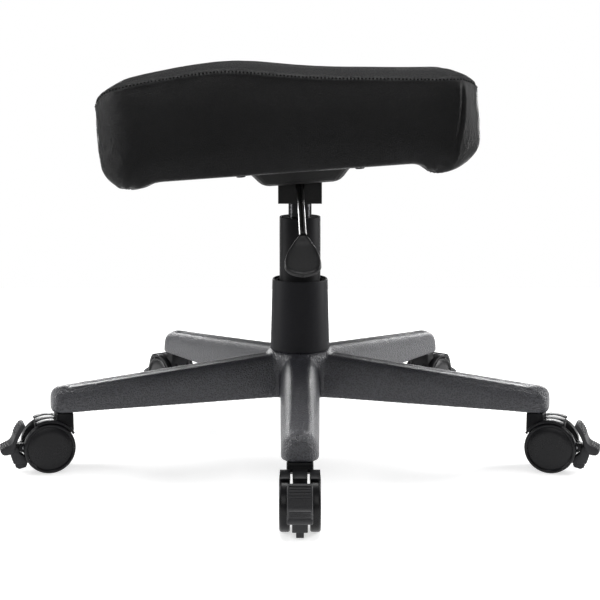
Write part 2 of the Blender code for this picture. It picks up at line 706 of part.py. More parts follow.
def make_casters(axis):
    hood_nylon = new_material("caster_nylon", (0.010, 0.010, 0.011), 0.3)
    wheel_nylon = new_material("wheel_nylon", (0.009, 0.009, 0.010), 0.25)
    pedal_nylon = new_material("pedal_nylon", (0.028, 0.028, 0.030), 0.6)
    steel = new_material("pin_steel", (0.5, 0.5, 0.52), 0.3, 1.0)
    body = caster_body_mesh()
    wheel = wheel_mesh()
    pedal = brake_pedal_mesh()
    stem = turned_mesh([
        (0.0, 0.0600),
        (0.0045, 0.0600),
        (STEM_RADIUS, 0.0585),
        (STEM_RADIUS, 0.0130),
        (0.0, 0.0130),
    ], closed=False, steps=16)
    axle = rod_mesh(AXLE_RADIUS, (0, -0.0172, 0), (0, 0.0172, 0), 16)
    pin = rod_mesh(0.0020, (0, -0.0072, 0), (0, 0.0072, 0), 10)
    quarter = math.pi / 2
    for index, name in enumerate(ARM_NAMES):
        turn = math.radians(FIRST_ARM_DEG + index * 360.0 / ARM_COUNT)
        place = (STEM_CIRCLE * math.cos(turn), STEM_CIRCLE * math.sin(turn), WHEEL_RADIUS)
        swivel = new_empty(f"swivel_{name}", stool, axis, place, (0.0, 0.0, turn))
        part(f"caster_stem_{name}", stem, steel, swivel)
        part(f"caster_body_{name}", body, hood_nylon, swivel, (TRAIL, 0.0, 0.0))
        part(f"caster_axle_{name}", axle, steel, swivel, (TRAIL, 0.0, 0.0))
        left = (TRAIL, WHEEL_INNER_FACE, 0.0)
        part(f"wheel_{name}_a", wheel, wheel_nylon, swivel, left, (-quarter, 0.0, 0.0))
        right = (TRAIL, -WHEEL_INNER_FACE, 0.0)
        part(f"wheel_{name}_b", wheel, wheel_nylon, swivel, right, (quarter, 0.0, 0.0))
        pivot = (TRAIL + BRAKE_PIVOT, 0.0, 0.0)
        part(f"brake_pin_{name}", pin, steel, swivel, pivot)
        part(f"brake_pedal_{name}", pedal, pedal_nylon, swivel, pivot)


# ---------------------------------------------------------------- assembly
clear_scene()
stool = new_collection("rolling_stool")
scratch = new_collection("scratch")
column = new_empty("column_axis", stool, location=(0.0, COLUMN_Y, 0.0))
lifted = new_empty("lift_axis", stool, column)
lever_pivot = new_empty("lever_pivot", stool, lifted, (0.0, BOX_FRONT, LEVER_HEIGHT))
seat_frame = new_empty(
    "seat_frame", stool, lifted, (0.0, 0.0, SEAT_PLANE), (0.0, -math.radians(SEAT_TILT_DEG), 0.0)
)
make_star_base(column)
make_gas_lift(column, lifted)
make_column_covers(column)
make_lift_housing(lifted)
make_lever(lever_pivot)
make_seat(seat_frame)
make_casters(column)
bpy.context.view_layer.update()
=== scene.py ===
# %% [markdown]
# # A rolling stool, finished piece by piece
# This lesson dresses a finished CAD model of a gas-lift stool: a padded vinyl seat on a steel pan, a column
# with stepped covers, a five-arm nylon base and braked twin-wheel casters. The CAD model is a fixed frame.
# Each step either gives a CAD piece a better material or builds a finer piece that rides on the same body.

# %% Load the frame
import math

import bmesh
import bpy
import numpy as np
from mathutils import Matrix, Vector, noise
from mathutils.bvhtree import BVHTree
from mathutils.kdtree import KDTree


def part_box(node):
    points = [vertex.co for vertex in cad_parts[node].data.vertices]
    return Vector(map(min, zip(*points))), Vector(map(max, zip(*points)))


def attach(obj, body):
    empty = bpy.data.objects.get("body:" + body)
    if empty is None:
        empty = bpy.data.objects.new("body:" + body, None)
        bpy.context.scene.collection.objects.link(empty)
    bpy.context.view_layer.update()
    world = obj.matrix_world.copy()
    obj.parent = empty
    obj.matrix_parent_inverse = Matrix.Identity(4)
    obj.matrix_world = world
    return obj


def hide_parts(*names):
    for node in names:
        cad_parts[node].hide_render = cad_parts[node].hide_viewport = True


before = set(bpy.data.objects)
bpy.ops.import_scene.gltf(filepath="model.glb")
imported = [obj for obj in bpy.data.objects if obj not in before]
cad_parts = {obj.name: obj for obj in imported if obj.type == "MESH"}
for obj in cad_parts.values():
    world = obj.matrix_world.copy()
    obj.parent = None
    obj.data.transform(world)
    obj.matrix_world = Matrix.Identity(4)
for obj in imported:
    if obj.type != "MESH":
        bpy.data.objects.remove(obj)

scene = bpy.context.scene
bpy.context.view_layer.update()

# %% [markdown]
# Every position below comes from the CAD pieces themselves. The column tube gives the vertical axis. The
# seat's four bolts stand square to its board, so their centres give the seat's own tilted frame. Working in
# that frame keeps the cushion's maths level, and one matrix puts the finished cushion in place.

# %% Measure the axes from the CAD pieces
def centre(node):
    low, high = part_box(node)
    return (low + high) / 2


column_y = centre("gas_column_tube").y
bolts = [centre(f"seat_bolt_{number}") for number in (1, 2, 3, 4)]
across = bolts[1] - bolts[0]
seat_tilt = math.atan2(across.z, across.x)
seat_place = Matrix.Translation(sum(bolts, Vector()) / 4) @ Matrix.Rotation(-seat_tilt, 4, "Y")
print("column at y", round(column_y, 4), "seat tilted", round(math.degrees(seat_tilt), 2), "degrees")

# %% [markdown]
# ## A small language for materials
# Shader nodes are easier to read as arithmetic. `Value` wraps one socket, and its operators add Math nodes,
# so `1 - mask * 0.3` builds the nodes it describes. `Finish` holds one material and adds any other node:
# its type first, then its settings, then the values or links of its sockets.

# %% Define the shader helpers
class Value:
    """One shader socket that works in Python expressions."""

    def __init__(self, finish, socket):
        self.finish = finish
        self.socket = socket

    def math(self, operation, *others):
        return self.finish.node("ShaderNodeMath", {"operation": operation}, dict(enumerate(others)))

    def __add__(self, other):
        return self.math("ADD", self, other)

    def __radd__(self, other):
        return self.math("ADD", other, self)

    def __sub__(self, other):
        return self.math("SUBTRACT", self, other)

    def __rsub__(self, other):
        return self.math("SUBTRACT", other, self)

    def __mul__(self, other):
        return self.math("MULTIPLY", self, other)

    def __rmul__(self, other):
        return self.math("MULTIPLY", other, self)


class Finish:
    """One material: its Principled shader and the nodes behind it."""

    def __init__(self, name, colour, roughness, metallic=0.0, specular=0.5):
        self.material = bpy.data.materials.new(name)
        self.material.use_nodes = True
        self.shader = self.material.node_tree.nodes["Principled BSDF"]
        self.set(**{"Base Color": (*colour, 1.0), "Roughness": roughness})
        self.set(**{"Metallic": metallic, "Specular IOR Level": specular})

    def put(self, socket, value):
        if isinstance(value, Value):
            self.material.node_tree.links.new(value.socket, socket)
        else:
            socket.default_value = value

    def set(self, **values):
        for name, value in values.items():
            self.put(self.shader.inputs[name], value)

    def colour(self, value):
        self.set(**{"Base Color": value})

    def node(self, kind, settings=None, sockets=None, output=0):
        made = self.material.node_tree.nodes.new(kind)
        for name, value in (settings or {}).items():
            setattr(made, name, value)
        for name, value in (sockets or {}).items():
            self.put(made.inputs[name], value)
        return Value(self, made.outputs[output])

    def place(self):
        return self.node("ShaderNodeTexCoord", output="Object")

    def cells(self, scale, randomness=1.0, feature="F1"):
        sockets = {"Vector": self.place(), "Scale": scale, "Randomness": randomness}
        return self.node("ShaderNodeTexVoronoi", {"feature": feature}, sockets, "Distance")

    def cloud(self, scale, detail=3.0):
        sockets = {"Vector": self.place(), "Scale": scale, "Detail": detail}
        return self.node("ShaderNodeTexNoise", {}, sockets, 0)

    def bands(self, scale, distortion):
        sockets = {"Vector": self.place(), "Scale": scale, "Distortion": distortion}
        return self.node("ShaderNodeTexWave", {}, sockets, "Fac")

    def between(self, value, low, high, new_low, new_high):
        """Stretch the part of a value from low to high over a new range, and hold it there outside."""
        sockets = {0: value, 1: low, 2: high, 3: new_low, 4: new_high}
        return self.node("ShaderNodeMapRange", {"clamp": True}, sockets)

    def blend(self, share, first, second):
        sockets = {0: share, 6: (*first, 1.0), 7: (*second, 1.0)}
        return self.node("ShaderNodeMix", {"data_type": "RGBA"}, sockets, 2)

    def relief(self, height, depth, strength=1.0):
        """Light the surface as if it rose and fell by this height, in metres."""
        sockets = {"Height": height, "Distance": depth, "Strength": strength}
        self.set(Normal=self.node("ShaderNodeBump", {}, sockets))


# %% [markdown]
# ## The black plastics
# The base is glass-filled nylon, moulded against an etched steel tool. The etch leaves a pebble of rounded
# cells about two millimetres across. Voronoi cells give the pebble's bumps, and the same cells paint the
# pebble's light and shade into the colour, lighter between the cells and darker on their tops, mixed with
# random specks. A slow noise gives the uneven flow marks. One function serves all the moulded pieces, with
# the pebble's size and depth as its arguments.

# %% Make the moulded plastic finishes
def moulded(name, dark, light, roughness, pebble, depth, specular=0.3):
    finish = Finish(name, dark, roughness, specular=specular)
    pebbles = finish.cells(pebble)
    flow = finish.cloud(22.0, 4.0)
    specks = finish.cloud(pebble * 0.9, 2.0)
    # Painted light and shade of the pebbles with random specks: lighter between the cells, darker on their
    # tops.
    pebble_shade_and_mottle = finish.between(pebbles * 0.7 + specks * 0.4, 0.35, 0.65, 0.0, 1.0)
    finish.colour(finish.blend(pebble_shade_and_mottle * 0.7 + flow * 0.3, dark, light))
    finish.set(Roughness=finish.between(flow + pebbles * 0.3, 0.3, 0.9, roughness - 0.05, roughness + 0.07))
    finish.relief(1.0 - pebbles + specks * 0.2, depth)
    return finish.material


base_nylon = moulded(
    "base_nylon_pebbled", (0.005, 0.005, 0.007), (0.043, 0.044, 0.052), 0.36, 540.0, 0.00075, specular=0.6
)
cover_plastic = moulded(
    "cover_plastic_satin", (0.011, 0.011, 0.013), (0.016, 0.016, 0.018), 0.50, 900.0, 0.00004, specular=0.09
)
tube_paint = moulded(
    "tube_powder_coat", (0.007, 0.007, 0.008), (0.011, 0.011, 0.012), 0.50, 700.0, 0.00005, specular=0.08
)
housing_paint = moulded(
    "housing_powder_coat", (0.006, 0.006, 0.006), (0.011, 0.011, 0.011), 0.46, 800.0, 0.00006, specular=0.2
)
hood_nylon = moulded(
    "hood_nylon_gloss", (0.004, 0.004, 0.005), (0.007, 0.007, 0.008), 0.36, 600.0, 0.00003, specular=0.14
)
wheel_nylon = moulded(
    "wheel_nylon_gloss", (0.004, 0.004, 0.005), (0.007, 0.007, 0.008), 0.28, 500.0, 0.00003, specular=0.2
)
pedal_nylon = moulded(
    "pedal_nylon_matte", (0.010, 0.010, 0.012), (0.018, 0.018, 0.020), 0.52, 800.0, 0.00008
)
paddle_nylon = moulded(
    "paddle_nylon_satin", (0.008, 0.008, 0.009), (0.014, 0.014, 0.015), 0.38, 900.0, 0.00004
)
print("moulded finishes made")

# %% [markdown]
# ## Upholstery vinyl
# The seat's vinyl is embossed with a fine leather grain: small cells with soft creases between them, just
# over a millimetre across. The creases hold a little dust and shine less. Edge distance from Voronoi draws
# the creases, and a broad noise lets the sheet look slightly uneven, as stretched vinyl does.

# %% Make the vinyl and cloth finishes
vinyl = Finish("seat_vinyl_grain", (0.012, 0.012, 0.013), 0.42, specular=0.2)
grain = vinyl.cells(800.0, feature="DISTANCE_TO_EDGE")
creases = vinyl.between(grain, 0.0, 0.12, 0.0, 1.0)
slack = vinyl.cloud(9.0, 3.0)
fine = vinyl.cloud(700.0, 2.0)
# The fine noise that raises the grain also paints its light and shade into the colour, lighter on raised spots;
# the broad noise gives random tone.
vinyl.colour(vinyl.blend(slack * 0.5 + fine * 0.5, (0.0050, 0.0050, 0.0054), (0.0190, 0.0190, 0.0200)))
vinyl.set(Roughness=vinyl.between(slack + creases * 0.25, 0.3, 0.95, 0.50, 0.38))
vinyl.relief(creases + fine + slack * 1.2, 0.00080)
seat_vinyl = vinyl.material

# Black thread, coloured darker than the vinyl so that it also paints the shade of the needle holes and the
# groove.
thread = Finish("stitch_thread", (0.002, 0.002, 0.002), 0.70, specular=0.1)
twist = thread.bands(600.0, 1.0)
thread.relief(twist, 0.00010)
thread.colour(thread.blend(twist, (0.001, 0.001, 0.001), (0.004, 0.004, 0.004)))
stitch_thread = thread.material

felt = Finish("dust_cloth_felt", (0.018, 0.018, 0.018), 0.95)
fibres = felt.cloud(900.0, 5.0)
felt.colour(felt.blend(fibres, (0.010, 0.010, 0.010), (0.035, 0.035, 0.035)))
felt.relief(fibres, 0.00020)
dust_felt = felt.material

# %% [markdown]
# ## Metals and hidden materials
# The gas cylinder is ground and dark-chromed, so it is a near mirror with fine rings around it. The seat's
# bolts are black oxide, and the stems and pins are zinc-plated steel. Stretching a noise along the axis
# gives the ground rings. Plywood, foam and the bearing are hidden, but each still has its own finish.

# %% Make the metal and hidden finishes
def metal(name, colour, roughness, rings, depth):
    finish = Finish(name, colour, roughness, metallic=1.0)
    stretched = finish.node("ShaderNodeMapping", {}, {"Vector": finish.place(), "Scale": (1.0, 1.0, rings)})
    lines = finish.node("ShaderNodeTexNoise", {}, {"Vector": stretched, "Scale": 12.0, "Detail": 3.0}, 0)
    tone = tuple(part * 0.72 for part in colour)
    finish.colour(finish.blend(lines, tone, colour))
    finish.set(Roughness=finish.between(lines, 0.3, 0.7, roughness, roughness + 0.1))
    finish.relief(lines, depth)
    return finish.material


cylinder_chrome = metal("cylinder_dark_chrome", (0.10, 0.10, 0.105), 0.12, 90.0, 0.00001)
bolt_black = metal("bolt_black_oxide", (0.035, 0.035, 0.037), 0.42, 8.0, 0.00003)
zinc = metal("zinc_plate", (0.46, 0.46, 0.48), 0.30, 8.0, 0.00003)
ground_steel = metal("ground_steel", (0.60, 0.60, 0.62), 0.20, 70.0, 0.00002)
lever_enamel = moulded("lever_black_enamel", (0.007, 0.007, 0.007), (0.012, 0.012, 0.012), 0.28, 500.0, 0.00003)
acetal = moulded("bush_acetal", (0.010, 0.010, 0.010), (0.016, 0.016, 0.016), 0.45, 900.0, 0.00003)

ply = Finish("board_plywood", (0.45, 0.30, 0.17), 0.7)
figure = ply.bands(18.0, 6.0)
ply.colour(ply.blend(figure, (0.36, 0.22, 0.11), (0.52, 0.36, 0.21)))
ply.relief(figure, 0.0002)
foam = Finish("seat_foam", (0.55, 0.52, 0.45), 0.95)
pores = foam.cells(700.0)
foam.colour(foam.blend(pores, (0.60, 0.57, 0.50), (0.42, 0.39, 0.33)))
foam.relief(pores, 0.0003)

# %% [markdown]
# ## Dress the CAD pieces that stay
# Many CAD pieces already have the right shape, such as the pan, the bolts and everything inside the column.
# They only need a finish in their material slot. A Bevel modifier rounds the edges of the pan and the lift
# housing a little, because a real pressed or turned edge catches a thin line of light and a perfectly sharp one
# does not.

# %% Assign finishes to the CAD nodes
ARMS = ("front", "right", "back_right", "back_left", "left")
finish_of = {
    "star_base": base_nylon,
    "gas_column_tube": tube_paint,
    "guide_bush": acetal,
    "thrust_bearing": ground_steel,
    "piston_rod": ground_steel,
    "rod_clip": zinc,
    "lift_cylinder": cylinder_chrome,
    "outer_cover_sleeve": cover_plastic,
    "inner_cover_sleeve": cover_plastic,
    "lift_housing": housing_paint,
    "taper_socket": ground_steel,
    "release_button": ground_steel,
    "lever_rod": lever_enamel,
    "lever_paddle": paddle_nylon,
    "seat_pan": housing_paint,
    "seat_board": ply.material,
    "dust_cloth": dust_felt,
    "seat_foam": foam.material,
    "seat_cover": seat_vinyl,
}
for number in (1, 2, 3, 4):
    finish_of[f"seat_bolt_{number}"] = bolt_black
for arm in ARMS:
    for kind in ("caster_stem", "caster_axle", "brake_pin"):
        finish_of[f"{kind}_{arm}"] = zinc
    finish_of[f"caster_body_{arm}"] = hood_nylon
    finish_of[f"brake_pedal_{arm}"] = pedal_nylon
    for side in "ab":
        finish_of[f"wheel_{arm}_{side}"] = wheel_nylon
for node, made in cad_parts.items():
    for place in made.material_slots:
        place.material = finish_of[node]
for node in ("seat_pan", "lift_housing"):
    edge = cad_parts[node].modifiers.new("soft_edges", "BEVEL")
    edge.width = 0.0005
    edge.segments = 2
    edge.limit_method = "ANGLE"
    edge.angle_limit = math.radians(50)
print(len(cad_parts), "CAD pieces dressed")

# %% [markdown]
# ## Tools for building pieces
# Four small tools make every new piece: a lofted skin through rings of points, a profile turned about an
# axis, a flat outline with thickness, and a Boolean that joins or cuts. `add_piece` names the result, gives
# it a finish, says which body carries it and which CAD pieces it stands for.

# %% Define the mesh tools
def mesh_from(bm, name):
    mesh = bpy.data.meshes.new(name)
    bm.to_mesh(mesh)
    bm.free()
    return mesh


def loft(rings, name="loft"):
    bm = bmesh.new()
    made = [[bm.verts.new(point) for point in ring] for ring in rings]
    for ring, following in zip(made, made[1:]):
        for index in range(len(ring)):
            after = (index + 1) % len(ring)
            bm.faces.new((ring[index], ring[after], following[after], following[index]))
    bm.faces.new(reversed(made[0]))
    bm.faces.new(made[-1])
    bmesh.ops.recalc_face_normals(bm, faces=bm.faces)
    return mesh_from(bm, name)


def turned(profile, steps=96, name="turned"):
    """Turn a closed loop of (radius, height) points about Z. A radius of zero makes one point."""
    bm = bmesh.new()
    columns = []
    for radius, height in profile:
        if radius < 1e-6:
            columns.append([bm.verts.new((0.0, 0.0, height))] * steps)
        else:
            turns = [2 * math.pi * step / steps for step in range(steps)]
            columns.append([bm.verts.new((radius * math.cos(a), radius * math.sin(a), height)) for a in turns])
    for upper, lower in zip(columns, columns[1:] + columns[:1]):
        for step in range(steps):
            after = (step + 1) % steps
            corners = [upper[step], upper[after], lower[after], lower[step]]
            distinct = list(dict.fromkeys(corners))
            if len(distinct) > 2:
                bm.faces.new(distinct)
    bmesh.ops.recalc_face_normals(bm, faces=bm.faces)
    return mesh_from(bm, name)


def plate(points, half, name="plate"):
    """A flat outline in X-Z with this half thickness along Y."""
    bm = bmesh.new()
    front = [bm.verts.new((x, -half, z)) for x, z in points]
    back = [bm.verts.new((x, half, z)) for x, z in points]
    bm.faces.new(front)
    bm.faces.new(reversed(back))
    for index in range(len(points)):
        after = (index + 1) % len(points)
        bm.faces.new((front[index], back[index], back[after], front[after]))
    bmesh.ops.recalc_face_normals(bm, faces=bm.faces)
    return mesh_from(bm, name)


def block(low, high):
    low, high = Vector(low), Vector(high)
    bm = bmesh.new()
    fit = Matrix.Translation((low + high) / 2) @ Matrix.Diagonal((*(high - low), 1))
    bmesh.ops.create_cube(bm, size=1.0, matrix=fit)
    return mesh_from(bm, "block")


def result_of(item, name):
    """The item's mesh after its modifiers. The item is then removed."""
    bpy.context.view_layer.update()
    mesh = bpy.data.meshes.new_from_object(item.evaluated_get(bpy.context.evaluated_depsgraph_get()))
    mesh.name = name
    bpy.data.objects.remove(item, do_unlink=True)
    return mesh


def modified(mesh, name, changes):
    """Run a mesh through a list of (modifier type, settings)."""
    item = bpy.data.objects.new(name, mesh)
    scene.collection.objects.link(item)
    for kind, settings in changes:
        change = item.modifiers.new(kind.lower(), kind)
        for setting, value in settings.items():
            setattr(change, setting, value)
    return result_of(item, name)


def boolean(mesh, others, operation, name="joined"):
    tools = []
    for other in others:
        tool = bpy.data.objects.new("tool", other)
        scene.collection.objects.link(tool)
        tools.append(tool)
    steps = [("BOOLEAN", {"operation": operation, "solver": "EXACT", "object": tool}) for tool in tools]
    joined = modified(mesh, name, steps)
    for tool in tools:
        bpy.data.objects.remove(tool, do_unlink=True)
    return joined


def eased(mesh, width, angle=40.0, segments=2):
    """Round the sharp edges of a moulding."""
    settings = {
        "width": width, "segments": segments, "use_clamp_overlap": True,
        "limit_method": "ANGLE", "angle_limit": math.radians(angle),
    }
    return modified(mesh, "eased", [("BEVEL", settings)])


def moved(mesh, matrix):
    mesh.transform(matrix)
    return mesh


def add_piece(name, mesh, body, finish, stands_for=(), place=Matrix.Identity(4), smooth_deg=40.0):
    made = bpy.data.objects.new(name, mesh)
    scene.collection.objects.link(made)
    mesh.materials.clear()
    mesh.materials.append(finish)
    mesh.shade_smooth()
    mesh.set_sharp_from_angle(angle=math.radians(smooth_deg))
    made.matrix_world = place
    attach(made, body)
    if stands_for:
        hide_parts(*stands_for)
    return made


# %% [markdown]
# ## The cushion's shape
# The seat is one block of foam under vinyl: thick and humped at its left end, thin at its right. Its section
# changes all the way along, so a loft of closed rings suits it better than a rounded box. Two soft curves
# give the height of the top seam, and each ring rolls over at the ends and crowns a little in the middle.

# %% Describe the cushion's outline
SEAT_LEFT = -0.2220
SEAT_RIGHT = 0.2015
HALF_DEPTH = 0.1700
COVER_UNDERSIDE = -0.0032
PLAN_RADIUS = 0.040
ROLL_RADIUS = 0.028
LEFT_ROLL = (0.85, 0.72)   # how far the end's lower and upper edges roll, as shares of a full round
RIGHT_ROLL = (0.75, 0.57)
BOTTOM_RADIUS = 0.012
TOP_RADIUS = 0.0160
BELLY = 0.0016


def seam_height(x):
    share = (x - SEAT_LEFT) / (SEAT_RIGHT - SEAT_LEFT)
    hump = math.exp(-((share - 0.30) / (0.365 if share < 0.30 else 0.22)) ** 2)
    shelf = math.exp(-((share - 0.62) / 0.26) ** 2)
    return 0.0925 + 0.0258 * hump + 0.0095 * shelf


def section(x, inset=0.0):
    """Half depth, underside, seam height and how far the end has rolled over, at this place along the seat."""
    gap = max(0.0, min(x - SEAT_LEFT, SEAT_RIGHT - x))
    plan = max(0.0, PLAN_RADIUS - gap)
    roll = max(0.0, ROLL_RADIUS - gap)
    plan_drop = PLAN_RADIUS - math.sqrt(PLAN_RADIUS ** 2 - plan ** 2)
    roll_drop = ROLL_RADIUS - math.sqrt(ROLL_RADIUS ** 2 - roll ** 2)
    half = HALF_DEPTH - 0.85 * plan_drop - inset
    low_share, top_share = LEFT_ROLL if x < 0.0 else RIGHT_ROLL
    underside = COVER_UNDERSIDE + inset + low_share * roll_drop
    return half, underside, seam_height(x) - top_share * roll_drop - inset, roll / ROLL_RADIUS


def cushion_ring(x, inset):
    half, underside, seam, rolled = section(x, inset)
    crown = 0.0020 * (1.0 - 0.7 * rolled)
    quarter = [math.pi / 2 * step / 6 for step in range(7)]
    wall_foot, wall_top = underside + BOTTOM_RADIUS, seam - TOP_RADIUS
    side = [(half * 0.5, underside), (half * 0.8, underside)]
    for turn in quarter:
        deep = half - BOTTOM_RADIUS + BOTTOM_RADIUS * math.sin(turn)
        side.append((deep, wall_foot - BOTTOM_RADIUS * math.cos(turn)))
    for share in (0.25, 0.5, 0.75):
        deep = half + BELLY * math.sin(math.pi * share)
        side.append((deep, wall_foot + (wall_top - wall_foot) * share))
    for turn in quarter:
        deep = half - TOP_RADIUS + TOP_RADIUS * math.cos(turn)
        side.append((deep, wall_top + TOP_RADIUS * math.sin(turn)))
    for share in (0.85, 0.75, 0.65, 0.50, 0.35, 0.18, 0.0):
        side.append((half * share, seam + crown * (1.0 - share ** 2.2)))
    mirrored = [(-deep, high) for deep, high in reversed(side[:-1])]
    return [(x, deep, high) for deep, high in side + mirrored + [(0.0, underside)]]


INSET = 0.0015
near_end = [0.0, 0.0012, 0.003, 0.006, 0.010, 0.015, 0.021, 0.028, 0.036, 0.046, 0.060]
between_ends = [SEAT_LEFT + 0.08 + step * (SEAT_RIGHT - SEAT_LEFT - 0.16) / 11 for step in range(12)]
stations = [SEAT_LEFT + INSET + step for step in near_end] + between_ends
stations += [SEAT_RIGHT - INSET - step for step in reversed(near_end)]
cushion_mesh = loft([cushion_ring(x, INSET) for x in stations], "cushion_form")
print("cushion form:", len(cushion_mesh.vertices), "points")

# %% [markdown]
# ## Where the seams run
# One seam runs all the way round, on the rounded top edge. Two more run down the right-hand corners, where
# the end panel meets the long boxing strip. Each seam is a dense line of points, drawn from the outline above.
# The stitches are later dropped onto the finished surface, so they always sit on the vinyl.

# %% Draw the seam lines
def along(points, step):
    """Points at an even step along a path."""
    points = np.array(points, float)
    lengths = np.r_[0.0, np.cumsum(np.linalg.norm(np.diff(points, axis=0), axis=1))]
    places = np.arange(0.0, lengths[-1], step)
    return np.stack([np.interp(places, lengths, points[:, axis]) for axis in range(3)], axis=1)


SEAM_DROP = 0.0048
SEAM_INSET = 0.0044
SEAM_END_GAP = 0.0012
SEAM_STEP = 0.001


def top_seam_path():
    front = []
    for step in range(121):
        share = 0.5 - 0.5 * math.cos(math.pi * step / 120)
        x = SEAT_LEFT + SEAM_END_GAP + share * (SEAT_RIGHT - SEAT_LEFT - 2 * SEAM_END_GAP)
        half, _, seam, _ = section(x)
        front.append((x, -(half - SEAM_INSET), seam - SEAM_DROP))
    back = [(x, -deep, high) for x, deep, high in reversed(front)]
    return front + back + front[:1]


def corner_seam_path(side):
    path = []
    for step in range(31):
        share = step / 30
        x = SEAT_RIGHT - 0.0190 - 0.0160 * share ** 2.2
        half, underside, seam, _ = section(x)
        start = seam - SEAM_DROP
        path.append((x, side * half, start + (underside + 0.004 - start) * share))
    return path


top_seam = along(top_seam_path(), SEAM_STEP)
corner_seams = np.vstack([along(corner_seam_path(side), SEAM_STEP) for side in (-1, 1)])
every_seam = np.vstack([top_seam, corner_seams])
print("top seam", round(len(top_seam) * SEAM_STEP, 3), "m long")


def distance_to(line, points):
    tree = KDTree(len(line))
    for index, point in enumerate(line):
        tree.insert(point, index)
    tree.balance()
    found = [tree.find(point) for point in points]
    return np.array([hit[2] for hit in found]), np.array([hit[1] for hit in found])


def points_of(mesh):
    flat = np.zeros(len(mesh.vertices) * 3)
    mesh.vertices.foreach_get("co", flat)
    return flat.reshape(-1, 3)


def move_points(mesh, points):
    mesh.vertices.foreach_set("co", np.asarray(points, float).ravel())
    mesh.update()


# %% [markdown]
# ## Stuff the cushion
# Foam presses the vinyl outwards, and the seams hold it back. Blender's Cloth does just that: pressure
# inflates an even voxel mesh while a pin group holds the long seams and the stapled underside. Gravity is off,
# and no point may travel more than a few millimetres, so the cushion keeps the size of its CAD solid.

# %% Simulate the stuffing
PUFF_CAP = 0.0026
CLOTH_FRAMES = 20
cushion_mesh = modified(cushion_mesh, "cushion_voxels", [("REMESH", {"mode": "VOXEL", "voxel_size": 0.005})])


def stuffed(mesh):
    rest = points_of(mesh)
    item = bpy.data.objects.new("stuffing", mesh)
    scene.collection.objects.link(item)
    away, _ = distance_to(top_seam, rest)
    long_side = (rest[:, 0] > SEAT_LEFT + 0.012) & (rest[:, 0] < SEAT_RIGHT - 0.012)
    held = item.vertex_groups.new(name="held")
    for index in np.nonzero(((away < 0.0035) & long_side) | (rest[:, 2] < 0.003))[0]:
        held.add([int(index)], 1.0, "REPLACE")
    cloth = item.modifiers.new("stuffing", "CLOTH")
    cloth.settings.quality = 5
    cloth.settings.mass = 0.3
    cloth.settings.vertex_group_mass = "held"
    cloth.settings.use_pressure = True
    cloth.settings.uniform_pressure_force = 4.0
    cloth.settings.effector_weights.gravity = 0.0
    cloth.settings.tension_stiffness = 12.0
    cloth.settings.compression_stiffness = 12.0
    cloth.settings.bending_stiffness = 0.4
    cloth.collision_settings.use_collision = False
    cloth.point_cache.frame_end = CLOTH_FRAMES
    for frame_number in range(1, CLOTH_FRAMES + 1):
        scene.frame_set(frame_number)
    shaped = item.evaluated_get(bpy.context.evaluated_depsgraph_get())
    travel = points_of(shaped.data) - rest
    size = np.linalg.norm(travel, axis=1, keepdims=True)
    item.modifiers.clear()
    item.vertex_groups.clear()
    scene.frame_set(1)
    print("stuffing moved the vinyl by up to", round(float(size.max()) * 1000, 1), "mm before the cap")
    move_points(mesh, rest + travel * np.minimum(1.0, PUFF_CAP / np.maximum(size, 1e-9)))
    bpy.data.objects.remove(item, do_unlink=True)
    return mesh


cushion_mesh = stuffed(cushion_mesh)
cushion_mesh = modified(cushion_mesh, "cushion_fine", [("SUBSURF", {"levels": 1, "render_levels": 1})])

# %% [markdown]
# ## Seams, puckers and folds
# Sewing pulls the vinyl down into a narrow valley and gathers tiny puckers across it. The mesh is made finer
# only near the seams, so the valley is real geometry. Broad, shallow noise adds the slack of hand-pulled
# vinyl. Under the corners the spare vinyl is gathered into pleats, which hang a little below the board.

# %% Press the seams in and gather the corners
def finer_near(mesh, line, reach):
    away, _ = distance_to(line, points_of(mesh))
    bm = bmesh.new()
    bm.from_mesh(mesh)
    bm.verts.ensure_lookup_table()
    edges = [edge for edge in bm.edges if all(away[corner.index] < reach for corner in edge.verts)]
    bmesh.ops.subdivide_edges(bm, edges=edges, cuts=1, use_grid_fill=True, smooth=0.0)
    return mesh_from(bm, "cushion_seams")


def ridge(away, middle, width):
    """One where the distance is middle, fading to nothing over a few times this width."""
    return np.exp(-((away - middle) / width) ** 2)


cushion_mesh = finer_near(cushion_mesh, every_seam, 0.009)
spots = points_of(cushion_mesh)
cushion_mesh.update()
facing = np.array([list(vertex.normal) for vertex in cushion_mesh.vertices])
to_top, _ = distance_to(top_seam, spots)
to_corner, _ = distance_to(corner_seams, spots)
at_side = 1.0 - 0.9 * np.abs(facing[:, 0])
groove = 0.0022 * at_side * ridge(to_top, 0.0, 0.0018) + 0.0014 * ridge(to_corner, 0.0, 0.0015)
lip = 0.0007 * ridge(to_top, 0.0045, 0.0020) + 0.0006 * ridge(to_corner, 0.0040, 0.0020)
pucker = np.array([noise.noise(Vector(spot) * 130.0) for spot in spots])
pucker *= 0.0005 * np.exp(-np.minimum(to_top, to_corner) / 0.012)
slackness = np.array([noise.noise(Vector(spot) * 11.0 + Vector((3.0, 1.0, 7.0))) for spot in spots])
tension = np.array([noise.noise(Vector((spot[0] * 22.0, spot[1] * 22.0, spot[2] * 6.0))) for spot in spots])
upright = np.clip(spots[:, 2] / 0.02, 0.0, 1.0)
rise = lip - groove + pucker + (0.0009 * slackness + 0.0005 * tension) * upright
spots = spots + facing * rise[:, None]


